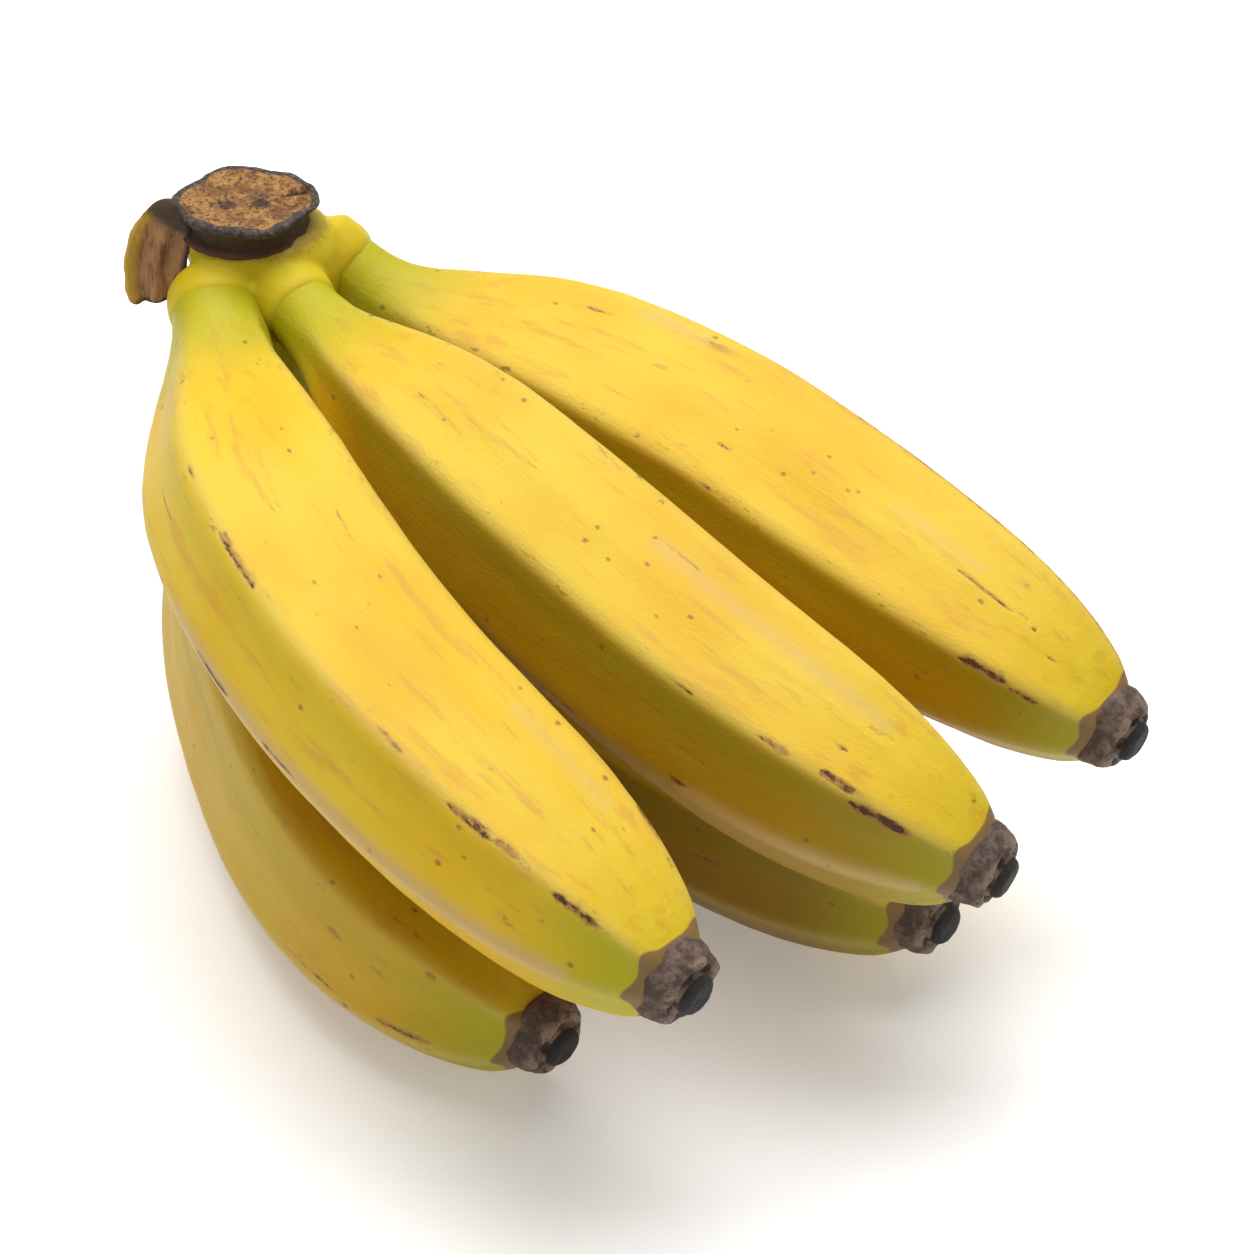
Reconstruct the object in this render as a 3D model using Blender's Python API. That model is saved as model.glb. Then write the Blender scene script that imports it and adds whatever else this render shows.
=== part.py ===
"""Bunch of five bananas on one cut crown, lying on its two lower fingers.

Frame: +X from the crown to the flower ends, +Z up, the resting plane at z = 0,
origin at the bottom centre of the bounding box. Lengths below are in millimetres.
"""
from dataclasses import dataclass
from math import cos, pi, radians, sin, tau

import bpy
from mathutils import Vector

MM = 0.001
GAP = 0.3                      # clearance left between neighbouring pieces

# One finger: share of its length -> share of its girth (radius at the ridges).
FINGER_PROFILE = (
    (0.00, 0.340), (0.03, 0.335), (0.06, 0.350), (0.09, 0.395), (0.12, 0.465), (0.15, 0.550),
    (0.18, 0.635), (0.22, 0.735), (0.26, 0.815), (0.31, 0.885), (0.37, 0.930), (0.43, 0.952),
    (0.49, 0.960), (0.55, 0.960), (0.61, 0.955), (0.66, 0.945), (0.71, 0.925), (0.76, 0.890),
    (0.80, 0.848), (0.84, 0.782), (0.87, 0.715), (0.90, 0.627), (0.92, 0.550), (0.935, 0.480),
    (0.945, 0.420), (0.951, 0.370), (0.954, 0.335),
)
ANGULARITY = 0.55              # 0 is a round finger, 1 has flat faces between sharp ridges
ROUND_NECK = 0.12              # shares of the length where the section turns round
ROUND_TIP = 0.95
FACE_STEPS = 4                 # section points from one ridge to the next
ROUTE_STEPS = 160              # samples used to measure a route

# Dried flower end: distance past the fruit tip -> radius.
FLOWER_PROFILE = ((0.0, 5.8), (1.2, 6.2), (2.8, 5.9), (4.2, 5.2), (4.7, 4.4), (4.2, 3.5),
                  (5.0, 3.1), (6.2, 2.7), (6.8, 1.8))
FLOWER_SIDES = 18

# Crown: height, centre x, centre y, half length, half depth of each level.
CROWN_LEVELS = (
    (55.0, -66.2, -4.2, 4.5, 4.2), (57.0, -66.2, -4.8, 8.0, 7.4), (61.0, -66.3, -6.4, 10.2, 9.2),
    (66.0, -66.4, -8.6, 11.2, 10.2), (71.0, -66.6, -11.0, 12.0, 10.6), (75.0, -66.7, -12.3, 12.0, 10.4),
    (77.0, -66.8, -12.8, 11.3, 9.8), (77.8, -66.8, -12.9, 10.0, 8.7), (80.2, -66.8, -13.1, 9.8, 8.5),
    (81.0, -66.8, -13.2, 10.3, 9.0), (82.4, -66.8, -13.3, 10.0, 8.7), (82.0, -66.8, -13.3, 7.0, 6.0),
)
CROWN_TURN = radians(45.0)
CROWN_SIDES = 24
LOBE_SIDES = 20
LOBE_OVERRUN = 1.5             # lobes run past the cut made for the necks
CLEARANCE_RINGS = 9
CROWN_CORE = Vector((-69.0, -9.0, 72.0))     # the lobes start here

# Torn skin flap: centre x, y, z, half width, half thickness of each cross-section.
FLAP_LEVELS = (
    (-68.0, -17.5, 80.2, 2.2, 1.4), (-70.4, -19.8, 80.4, 3.2, 1.2), (-72.9, -22.4, 79.2, 4.0, 1.0),
    (-74.3, -24.4, 76.3, 4.2, 0.9), (-74.7, -25.6, 72.5, 4.0, 0.8), (-74.6, -26.2, 68.5, 3.5, 0.8),
    (-74.5, -26.4, 65.8, 2.6, 0.7),
)
FLAP_FACING = Vector((0.71, -0.71, 0.0))
FLAP_SIDES = 12


@dataclass
class Finger:
    """One banana: centre-line route, girth and the angles of its ridges from the top."""

    name: str
    girth: float
    ridges: tuple
    route: tuple


FINGERS = (
    Finger("upper_left", 19.6, (48, 98, 165, 235, 322), (
        (-67.0, -21.2, 69.0), (-46.7, -36.5, 63.5), (-24.2, -49.0, 60.0), (0.2, -56.4, 55.0),
        (22.3, -60.0, 51.0), (47.9, -61.2, 46.5), (75.2, -60.4, 41.7))),
    Finger("upper_middle", 19.4, (47, 93, 160, 235, 338), (
        (-56.8, -14.0, 72.7), (-32.7, -16.8, 66.0), (-8.3, -18.3, 59.9), (16.1, -19.4, 54.6),
        (37.8, -20.0, 51.0), (62.5, -18.4, 47.0), (88.0, -13.0, 41.1))),
    Finger("upper_right", 18.9, (49, 98, 165, 240, 334), (
        (-62.9, -2.8, 73.0), (-53.0, 1.2, 63.5), (-40.5, 6.8, 59.3), (-18.3, 14.6, 55.0),
        (7.6, 17.7, 52.5), (30.5, 17.0, 51.3), (56.6, 16.9, 48.8), (83.5, 20.0, 43.2))),
    Finger("lower_left", 19.2, (45, 105, 152, 208, 300), (
        (-74.4, -9.5, 61.2), (-65.4, -19.7, 38.9), (-48.6, -30.4, 21.8), (-26.2, -42.5, 16.6),
        (-5.5, -52.1, 16.2), (19.6, -58.8, 15.6), (47.0, -58.0, 11.7))),
    Finger("lower_right", 19.6, (55, 105, 152, 208, 300), (
        (-66.0, 5.0, 59.0), (-60.5, 7.5, 48.5), (-51.0, 6.8, 36.0), (-30.2, 2.2, 21.8),
        (-5.6, -2.8, 16.8), (17.0, -5.2, 16.5), (42.1, -4.2, 15.6), (69.2, -1.8, 13.3))),
)
OFFSET = Vector((-4.14, 22.55, 0.0))       # puts the origin under the middle of the bunch

COLOURS = {
    "crown": (0.42, 0.30, 0.08, 1.0),
    "finger": (0.90, 0.62, 0.05, 1.0),
    "flower_end": (0.06, 0.045, 0.035, 1.0),
}


def clear_objects():
    """Start from an empty file."""
    for item in list(bpy.data.objects):
        bpy.data.objects.remove(item, do_unlink=True)


def material(name, kind, roughness=0.5):
    """Principled material of one node."""
    shade = bpy.data.materials.new(name)
    shade.use_nodes = True
    principled = shade.node_tree.nodes["Principled BSDF"]
    principled.inputs["Base Color"].default_value = COLOURS[kind]
    principled.inputs["Roughness"].default_value = roughness
    shade.diffuse_color = COLOURS[kind]
    return shade


def closed_loft(rings):
    """Vertices and faces of rings joined in order, with a fan on each end."""
    sides = len(rings[0])
    verts = [point for ring in rings for point in ring]
    faces = []
    for level in range(len(rings) - 1):
        for side in range(sides):
            near = level * sides + side
            far = level * sides + (side + 1) % sides
            faces.append((near, far, far + sides, near + sides))
    for level, order in ((0, -1), (len(rings) - 1, 1)):
        centre = len(verts)
        verts.append(sum(rings[level], Vector()) / sides)
        for side in range(sides):
            pair = (level * sides + side, level * sides + (side + 1) % sides)
            faces.append((centre, *pair[::order]))
    return verts, faces


def make_object(name, rings, kind=None):
    """Closed, smooth-shaded object through the rings."""
    verts, faces = closed_loft(rings)
    mesh = bpy.data.meshes.new(name)
    mesh.from_pydata([(point + OFFSET) * MM for point in verts], [], faces)
    mesh.validate()
    mesh.shade_smooth()
    item = bpy.data.objects.new(name, mesh)
    bpy.context.scene.collection.objects.link(item)
    if kind:
        mesh.materials.append(material(name, kind))
    return item


def catmull_rom(points, place):
    """Point of a smooth curve through the points; place runs over their indices."""
    first = min(int(place), len(points) - 2)
    share = place - first
    before = points[first - 1] if first else 2 * points[0] - points[1]
    last = len(points) - 1
    after = points[first + 2] if first + 2 <= last else 2 * points[last] - points[last - 1]
    start, end = points[first], points[first + 1]
    return 0.5 * (2 * start + (end - before) * share
                  + (2 * before - 5 * start + 4 * end - after) * share ** 2
                  + (3 * start - before - 3 * end + after) * share ** 3)


class Route:
    """Smooth centre line measured by arc length."""

    def __init__(self, points):
        points = [Vector(point) for point in points]
        span = len(points) - 1
        self.samples = [catmull_rom(points, span * step / ROUTE_STEPS) for step in range(ROUTE_STEPS + 1)]
        self.marks = [0.0]
        for near, far in zip(self.samples, self.samples[1:]):
            self.marks.append(self.marks[-1] + (far - near).length)
        self.length = self.marks[-1]

    def point(self, distance):
        """Point at a distance from the start; runs straight on past both ends."""
        index = 0
        while index < ROUTE_STEPS - 1 and self.marks[index + 1] < distance:
            index += 1
        share = (distance - self.marks[index]) / (self.marks[index + 1] - self.marks[index])
        return self.samples[index].lerp(self.samples[index + 1], share)

    def frame(self, distance):
        """Centre, direction, upward and sideways axes at a distance."""
        ahead = (self.point(distance + 1.5) - self.point(distance - 1.5)).normalized()
        up = (Vector((0, 0, 1)) - ahead * ahead.z).normalized()
        return self.point(distance), ahead, up, ahead.cross(up)


def section_angles(finger):
    """Angle and flatness of every section point, ridge after ridge."""
    ridges = [radians(angle) for angle in finger.ridges]
    result = []
    for start, end in zip(ridges, ridges[1:] + [ridges[0] + tau]):
        half = (end - start) / 2
        for step in range(FACE_STEPS):
            angle = start + (end - start) * step / FACE_STEPS
            result.append((angle, cos(half) / cos(angle - start - half)))
    return result


def angularity(share):
    """Strength of the ridges along a finger."""
    rise = min(1.0, max(0.15, share / ROUND_NECK - 0.4))
    fall = min(1.0, max(0.35, (1.0 - share) / (1.0 - ROUND_TIP)))
    return ANGULARITY * min(rise, fall)


def finger_ring(finger, route, share, radius):
    """Section of a finger, flattened where it rests on the ground."""
    centre, _, up, side = route.frame(share * route.length)
    strength = angularity(share)
    ring = []
    for angle, flat in section_angles(finger):
        reach = radius * (1.0 - strength * (1.0 - flat))
        point = centre + (up * cos(angle) + side * sin(angle)) * reach
        point.z = max(point.z, 0.0)
        ring.append(point)
    return ring


def build_finger(finger):
    """Skin of one banana from its neck to the flower end."""
    route = Route(finger.route)
    rings = [finger_ring(finger, route, share, finger.girth * size) for share, size in FINGER_PROFILE]
    make_object(f"finger_{finger.name}", rings, "finger")


def round_ring(centre, across, along, sides):
    """Elliptical ring spanned by two half-axis vectors."""
    return [centre + across * cos(tau * step / sides) + along * sin(tau * step / sides)
            for step in range(sides)]


def build_flower_end(finger):
    """Corky collar with the knob of the dried flower in the middle."""
    route = Route(finger.route)
    start = FINGER_PROFILE[-1][0] * route.length
    tip, ahead, up, side = route.frame(start)
    rings = []
    for distance, radius in FLOWER_PROFILE:
        centre = tip + ahead * (distance + GAP)
        rings.append(round_ring(centre, up * radius, side * radius, FLOWER_SIDES))
    make_object(f"flower_end_{finger.name}", rings, "flower_end")


def crown_body():
    """Cushion with the recessed band and the cut face."""
    rings = []
    for height, x, y, half_length, half_depth in CROWN_LEVELS:
        across = Vector((cos(CROWN_TURN), sin(CROWN_TURN), 0)) * half_length
        along = Vector((-sin(CROWN_TURN), cos(CROWN_TURN), 0)) * half_depth
        rings.append(round_ring(Vector((x, y, height)), across, along, CROWN_SIDES))
    return make_object("crown", rings, "crown")


def crown_lobe(finger):
    """Lobe of the crown that runs into one neck."""
    route = Route(finger.route)
    end, _, up, side = route.frame(LOBE_OVERRUN)
    radius = FINGER_PROFILE[0][1] * finger.girth
    rings = []
    for share, swell in ((0.0, 0.70), (0.45, 1.04), (0.8, 1.08), (1.0, 1.0)):
        centre = CROWN_CORE.lerp(end, share)
        rings.append(round_ring(centre, up * radius * swell, side * radius * swell, LOBE_SIDES))
    return make_object(f"crown_lobe_{finger.name}", rings)


def neck_clearance(finger):
    """Start of a finger grown by the gap, to be cut out of the crown."""
    route = Route(finger.route)
    rings = []
    for share, size in FINGER_PROFILE[:CLEARANCE_RINGS]:
        distance = share * route.length if share else -GAP
        centre, _, up, side = route.frame(distance)
        radius = finger.girth * size + GAP
        rings.append(round_ring(centre, up * radius, side * radius, LOBE_SIDES))
    return make_object(f"neck_clearance_{finger.name}", rings)


def crown_flap():
    """Strip of dry skin torn loose at the side of the crown."""
    centres = [Vector(level[:3]) for level in FLAP_LEVELS]
    rings = []
    for index, (centre, level) in enumerate(zip(centres, FLAP_LEVELS)):
        ahead = centres[min(index + 1, len(centres) - 1)] - centres[max(index - 1, 0)]
        width = ahead.cross(FLAP_FACING).normalized() * level[3]
        rings.append(round_ring(centre, width, FLAP_FACING * -level[4], FLAP_SIDES))
    return make_object("crown_flap_helper", rings)


def combine(base, helper, operation):
    """Boolean of the base with a helper that stays hidden."""
    helper.hide_render = True
    helper.display_type = "WIRE"
    modifier = base.modifiers.new(helper.name, "BOOLEAN")
    modifier.operation = operation
    modifier.solver = "EXACT"
    modifier.object = helper


def build_crown():
    """Crown with its five lobes and the torn flap as one grown piece."""
    crown = crown_body()
    for finger in FINGERS:
        combine(crown, crown_lobe(finger), "UNION")
    combine(crown, crown_flap(), "UNION")
    for finger in FINGERS:
        combine(crown, neck_clearance(finger), "DIFFERENCE")


def build():
    """Make every piece of the bunch."""
    clear_objects()
    build_crown()
    for finger in FINGERS:
        build_finger(finger)
        build_flower_end(finger)


build()
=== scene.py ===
"""Bunch of bananas: five plump, angular fruits on one cut crown, with peel, scars and dried flower ends.

Lengths in the tables below are millimetres and angles are degrees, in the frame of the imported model:
+X runs from the crown to the flower ends, +Z is up and the resting plane is z = 0.
"""
from dataclasses import dataclass
from math import cos, pi, radians, sin, tau

import bmesh
import bpy
import numpy as np
from bpy.props import FloatProperty, FloatVectorProperty, PointerProperty
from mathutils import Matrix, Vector, noise


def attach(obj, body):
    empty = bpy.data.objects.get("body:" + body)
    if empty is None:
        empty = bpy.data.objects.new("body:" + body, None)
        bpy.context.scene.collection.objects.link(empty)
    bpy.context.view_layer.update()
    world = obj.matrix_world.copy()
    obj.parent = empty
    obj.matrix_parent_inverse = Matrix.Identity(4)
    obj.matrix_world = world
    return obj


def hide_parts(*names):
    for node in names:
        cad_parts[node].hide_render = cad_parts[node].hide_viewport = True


bl_info = {
    "name": "Bunch of Bananas",
    "version": (1, 0, 0),
    "blender": (4, 5, 0),
    "location": "View3D > Sidebar > Bananas",
    "description": "Builds a hand of five bananas with procedural peel, crown and dried flower ends",
    "category": "Object",
}

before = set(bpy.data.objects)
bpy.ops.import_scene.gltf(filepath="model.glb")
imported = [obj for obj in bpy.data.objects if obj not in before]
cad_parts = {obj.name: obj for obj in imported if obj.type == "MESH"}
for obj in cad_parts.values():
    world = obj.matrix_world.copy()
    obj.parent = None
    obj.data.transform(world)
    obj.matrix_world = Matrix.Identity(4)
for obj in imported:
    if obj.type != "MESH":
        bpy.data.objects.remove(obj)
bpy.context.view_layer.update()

MM = 0.001
OFFSET = np.array((-4.14, 22.55, 0.0))
UPWARDS = np.array((0.0, 0.0, 1.0))


# ---------------------------------------------------------------- measures

@dataclass
class Finger:
    """One banana: girth, ridge angles from the top, centre-line route, strength of the painted shade on its
    sheltered faces, and the marks on its peel.
    """

    name: str
    girth: float
    ridges: tuple
    route: tuple
    seed: int
    # strength of the painted shade on the faces that a neighbouring finger shelters
    shade: float
    neck: float
    scars: tuple = ()
    bands: tuple = ()


# share of the length -> share of the girth, measured at the ridges
FINGER_PROFILE = (
    (-0.012, 0.280), (0.00, 0.315), (0.015, 0.335), (0.03, 0.340), (0.06, 0.355), (0.09, 0.398),
    (0.12, 0.465), (0.15, 0.550), (0.18, 0.635), (0.22, 0.735), (0.26, 0.815), (0.31, 0.885),
    (0.37, 0.930), (0.43, 0.952), (0.49, 0.960), (0.55, 0.960), (0.61, 0.955), (0.66, 0.945),
    (0.71, 0.925), (0.76, 0.890), (0.80, 0.848), (0.84, 0.782), (0.87, 0.715), (0.90, 0.627),
    (0.92, 0.555), (0.935, 0.490), (0.945, 0.435), (0.953, 0.385), (0.960, 0.330), (0.964, 0.240),
)
PROFILE_STEPS = 1200
PROFILE_BLUR = 22              # steps on each side over which the profile is smoothed
PROFILE_TIP = 60               # steps at the flower end that stay unsmoothed
ANGULARITY = 0.78
CORNER_POWER = 15.0            # higher makes crisper ridges
ROUND_NECK = 0.12
ROUND_TIP = 0.95
NECK_BLEND = (0.06, 0.26)      # shares between which a neck widens into the fruit
MEAN_REACH = 0.93              # mean radius of a section as a share of its ridges' radius
LUMP_HEIGHT = 0.20
MARK_END = 0.9                 # length over which a mark fades at its ends
FACE_STEPS = 4
FRAME_MARKS = np.linspace(-0.04, 1.0, 90)
RING_SHARES = np.concatenate((np.linspace(-0.012, 0.30, 15), np.linspace(0.33, 0.80, 18),
                              np.linspace(0.815, 0.93, 9), np.linspace(0.938, 0.964, 6)))

# marks are (place round the peel counted in ridges, start, end, half width, strength)
# after each finger's seed comes the strength of its painted shade, then the width of its neck
FINGERS = (
    Finger("upper_left", 19.8, (39, 85, 160, 235, 318), (
        (-67.0, -21.2, 69.0), (-46.5, -35.9, 63.5), (-24.2, -48.5, 60.0), (0.2, -56.4, 55.0),
        (22.3, -60.0, 51.0), (47.9, -61.2, 46.5), (75.2, -60.4, 41.7)), 1, 0.0, 1.06,
        scars=((4.99, 0.395, 0.462, 0.51, 1.0), (0.00, 0.315, 0.322, 0.34, 0.6),
               (4.98, 0.65, 0.685, 0.48, 0.6), (0.02, 0.75, 0.793, 0.54, 0.9),
               (0.0, 0.802, 0.823, 0.41, 0.7), (0.05, 0.867, 0.905, 0.54, 0.9),
               (0.97, 0.452, 0.50, 0.48, 0.9), (0.97, 0.565, 0.605, 0.34, 0.6),
               (1.05, 0.74, 0.80, 0.41, 0.5), (4.0, 0.845, 0.875, 0.54, 0.7),
               (0.5, 0.30, 0.33, 0.24, 0.5), (4.2, 0.755, 0.815, 0.27, 0.3)),
        bands=((0.95, 0.40, 0.90, 1.5, 1.0), (4.2, 0.70, 0.83, 1.4, 0.4))),
    Finger("upper_middle", 19.6, (47, 93, 160, 235, 338), (
        (-58.4, -14.9, 69.9), (-32.7, -18.2, 66.0), (-8.3, -18.9, 59.9), (16.1, -19.4, 54.6),
        (37.8, -20.0, 51.0), (62.5, -18.4, 47.0), (88.0, -13.0, 41.1)), 2, 1.0, 0.87,
        scars=((0.0, 0.767, 0.79, 0.41, 0.7), (0.03, 0.668, 0.69, 0.34, 0.6),
               (4.98, 0.823, 0.85, 0.61, 1.0), (0.1, 0.856, 0.904, 0.68, 1.0),
               (0.92, 0.704, 0.723, 0.41, 0.6), (0.6, 0.70, 0.73, 0.24, 0.4),
               (4.67, 0.497, 0.504, 0.41, 0.8), (4.63, 0.248, 0.28, 0.24, 0.5),
               (4.4, 0.828, 0.838, 0.41, 0.6), (4.72, 0.819, 0.824, 0.41, 0.6),
               (4.25, 0.55, 0.60, 0.2, 0.4), (4.37, 0.84, 0.85, 0.34, 0.4)),
        bands=((4.3, 0.55, 0.84, 1.6, 0.5), (0.97, 0.72, 0.93, 1.3, 0.8))),
    Finger("upper_right", 19.1, (56, 101, 168, 242, 334), (
        (-63.4, -3.3, 70.7), (-53.0, 1.2, 63.5), (-40.5, 6.8, 59.3), (-18.3, 14.6, 55.0),
        (7.6, 17.7, 52.5), (30.5, 17.0, 51.3), (56.6, 16.9, 48.8), (83.5, 20.0, 43.2)), 3, 0.9, 0.93,
        scars=((0.02, 0.53, 0.593, 0.34, 0.55), (0.05, 0.841, 0.876, 0.61, 1.0),
               (0.1, 0.886, 0.908, 0.41, 0.8), (4.5, 0.793, 0.841, 0.24, 0.7),
               (4.46, 0.846, 0.86, 0.31, 0.6), (4.49, 0.867, 0.871, 0.41, 0.8),
               (4.62, 0.893, 0.901, 0.31, 0.7), (0.5, 0.80, 0.815, 0.27, 0.5),
               (4.22, 0.29, 0.31, 0.27, 0.6), (4.75, 0.515, 0.53, 0.27, 0.5),
               (4.0, 0.6, 0.95, 0.41, 0.5)),
        bands=((4.1, 0.34, 0.42, 1.0, 0.5), (4.37, 0.70, 0.80, 1.2, 0.4))),
    Finger("lower_left", 19.4, (45, 105, 152, 208, 300), (
        (-71.8, -9.0, 60.9), (-63.0, -18.6, 39.2), (-48.2, -30.0, 21.9), (-26.2, -42.4, 16.7),
        (-5.5, -52.1, 16.2), (19.6, -58.8, 15.6), (47.0, -58.0, 11.7)), 4, 0.35, 1.22,
        scars=((0.36, 0.782, 0.797, 0.34, 0.9), (0.45, 0.585, 0.604, 0.24, 0.5),
               (0.1, 0.757, 0.771, 0.27, 0.5), (4.92, 0.823, 0.865, 0.41, 0.7),
               (0.9, 0.74, 0.81, 0.34, 0.5), (0.9, 0.85, 0.893, 0.48, 0.8),
               (0.45, 0.475, 0.54, 0.2, 0.5), (0.45, 0.68, 0.715, 0.2, 0.4),
               (0.07, 0.876, 0.884, 0.34, 0.7))),
    Finger("lower_right", 19.8, (55, 105, 152, 208, 300), (
        (-66.0, 5.0, 59.0), (-60.5, 7.5, 48.5), (-51.0, 6.8, 36.0), (-30.2, 2.2, 21.8),
        (-5.6, -2.8, 16.8), (17.0, -5.2, 16.5), (42.1, -4.2, 15.6), (69.2, -1.8, 13.3)), 5, 1.3, 1.0,
        scars=((0.5, 0.765, 0.795, 0.27, 0.7), (0.8, 0.823, 0.841, 0.34, 0.6),
               (0.22, 0.87, 0.89, 0.34, 0.5), (0.6, 0.60, 0.62, 0.34, 0.5))),
)

# dried flower end: distance past the fruit tip -> radius
FLOWER_PROFILE = (
    (-1.6, 3.0), (-1.0, 5.6), (-0.3, 6.35), (0.7, 6.45), (1.8, 6.2), (3.0, 5.8), (4.0, 5.4), (4.5, 4.9),
    (4.4, 4.3), (4.0, 3.8), (3.9, 3.4), (4.5, 3.25), (5.5, 3.1), (6.2, 2.5), (6.2, 1.3),
)
FLOWER_SIDES = 20
TIP_SHARE = 0.954              # share of the route where the flower end starts

CROWN_LEVELS = (
    (54.5, -66.2, -4.2, 4.5, 4.2), (57.0, -66.2, -4.8, 8.0, 7.4), (61.0, -66.3, -6.4, 10.2, 9.2),
    (66.0, -66.4, -8.6, 11.2, 10.2), (71.0, -66.6, -11.0, 12.0, 10.6), (75.0, -66.7, -12.3, 11.8, 10.2),
    (77.2, -66.8, -12.8, 11.0, 9.5), (78.4, -66.8, -12.9, 9.0, 7.6),
)
CROWN_SIDES = 24
CROWN_TURN = radians(45.0)
CROWN_CORE = np.array((-68.5, -9.5, 70.0))
NECK_SIZE = 0.345              # radius of a neck as a share of the girth
LOBE_SIDES = 20
# share of the way from the core to the neck, swelling
LOBE_ROOT = ((0.0, 0.75), (0.35, 0.98), (0.70, 1.06))
# distance along the neck in millimetres, swelling
LOBE_SLEEVE = ((0.0, 1.06), (2.0, 1.07), (3.4, 1.07), (4.6, 1.04), (5.4, 0.97), (5.8, 0.85))

# height, half width of the cut stem
STUMP_LEVELS = (
    (75.5, 8.0), (77.0, 10.2), (77.6, 10.6), (78.1, 10.0), (78.5, 9.2), (79.6, 8.9), (80.6, 9.2),
    (81.1, 10.3), (81.6, 10.9), (82.2, 10.9), (82.5, 10.3), (82.3, 9.5), (82.1, 7.8), (82.0, 5.6),
    (81.9, 3.5), (81.9, 1.6),
)
STUMP_CENTRE = (-67.5, -13.9)
STUMP_DEPTH = 0.87
STUMP_SIDES = 48
STUMP_CORNERS = 6
STUMP_PITS = ((-1.0, -2.6), (2.2, 1.2))

# x, y, z, half width, half thickness down the torn strip
FLAP_LEVELS = (
    (-71.8, -22.4, 81.8, 3.2, 0.9), (-73.0, -23.4, 81.2, 4.2, 1.0), (-74.2, -24.4, 79.2, 4.7, 1.0),
    (-74.9, -25.4, 76.0, 4.9, 0.9), (-75.2, -26.2, 72.5, 4.9, 0.8), (-75.0, -26.6, 68.8, 4.5, 0.8),
    (-74.7, -26.8, 66.2, 4.0, 0.7),
)
FLAP_FACING = np.array((0.71, -0.71, 0.0))
FLAP_SIDES = 16

# stage, in metres
FLOOR_SIZE = 6.0
LAMP_SIZE = 1.2
LAMP_PLACE = (-0.25, 0.25, 1.1)
LAMP_AIM = (0.0, 0.0, 0.03)
CAMERA_AIM = (-0.00414, 0.02255, 0.030)
CAMERA_TURN = radians(45.0)
CAMERA_LIFT = radians(38.0)
CAMERA_DISTANCE = 0.650
SENSOR = 36.0                  # millimetres


# ---------------------------------------------------------------- settings a user would change


class PeelSettings(bpy.types.PropertyGroup):
    """Colours and detail of the banana peel."""

    bright: FloatVectorProperty(name="Peel", description="Ripe yellow of the peel", subtype="COLOR",
                                size=3, default=(0.66, 0.455, 0.022))
    deep: FloatVectorProperty(name="Deep peel", description="Riper orange-yellow patches", subtype="COLOR",
                              size=3, default=(0.64, 0.375, 0.006))
    green: FloatVectorProperty(name="Green", description="Unripe green near both ends", subtype="COLOR",
                               size=3, default=(0.33, 0.335, 0.004))
    pale: FloatVectorProperty(name="Rubbed ridge", description="Pale corky rubbed ridges", subtype="COLOR",
                              size=3, default=(0.55, 0.36, 0.14))
    scar: FloatVectorProperty(name="Scar", description="Dark scars, dashes and dots", subtype="COLOR",
                              size=3, default=(0.045, 0.018, 0.012))
    ridge_height: FloatProperty(name="Ridge height", description="Rise of the peel along each ridge",
                                default=0.00035, unit="LENGTH")


class CrownSettings(bpy.types.PropertyGroup):
    """Colours of the crown, its cut face and the dried flower ends."""

    cut: FloatVectorProperty(name="Cut face", description="Fibrous cut face of the crown", subtype="COLOR",
                             size=3, default=(0.20, 0.080, 0.022))
    char: FloatVectorProperty(name="Dry rim", description="Dry grey-black rim of the cut", subtype="COLOR",
                              size=3, default=(0.035, 0.026, 0.022))
    flap: FloatVectorProperty(name="Torn peel", description="Inside of the torn flap of peel",
                              subtype="COLOR", size=3, default=(0.40, 0.205, 0.085))
    cork: FloatVectorProperty(name="Cork", description="Corky collar of a flower end", subtype="COLOR",
                              size=3, default=(0.060, 0.036, 0.026))
    knob: FloatVectorProperty(name="Knob", description="Black knob of a flower end", subtype="COLOR",
                              size=3, default=(0.012, 0.010, 0.009))


class StageSettings(bpy.types.PropertyGroup):
    """Floor, lights and camera."""

    floor: FloatVectorProperty(name="Floor", description="Colour of the seamless floor", subtype="COLOR",
                               size=3, default=(0.84, 0.84, 0.84))
    soft_light: FloatProperty(name="Overhead light", description="Power of the overhead soft light in watts",
                              default=21.0)
    sky: FloatProperty(name="Surround", description="Brightness of the white surroundings", default=0.40)
    lift: FloatProperty(name="Floor lift", description="Glow that keeps the floor white in the shadows",
                        default=0.22)
    lens: FloatProperty(name="Lens", description="Focal length in millimetres on a 36 mm sensor",
                        default=123.2)


# ---------------------------------------------------------------- shader expressions


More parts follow.
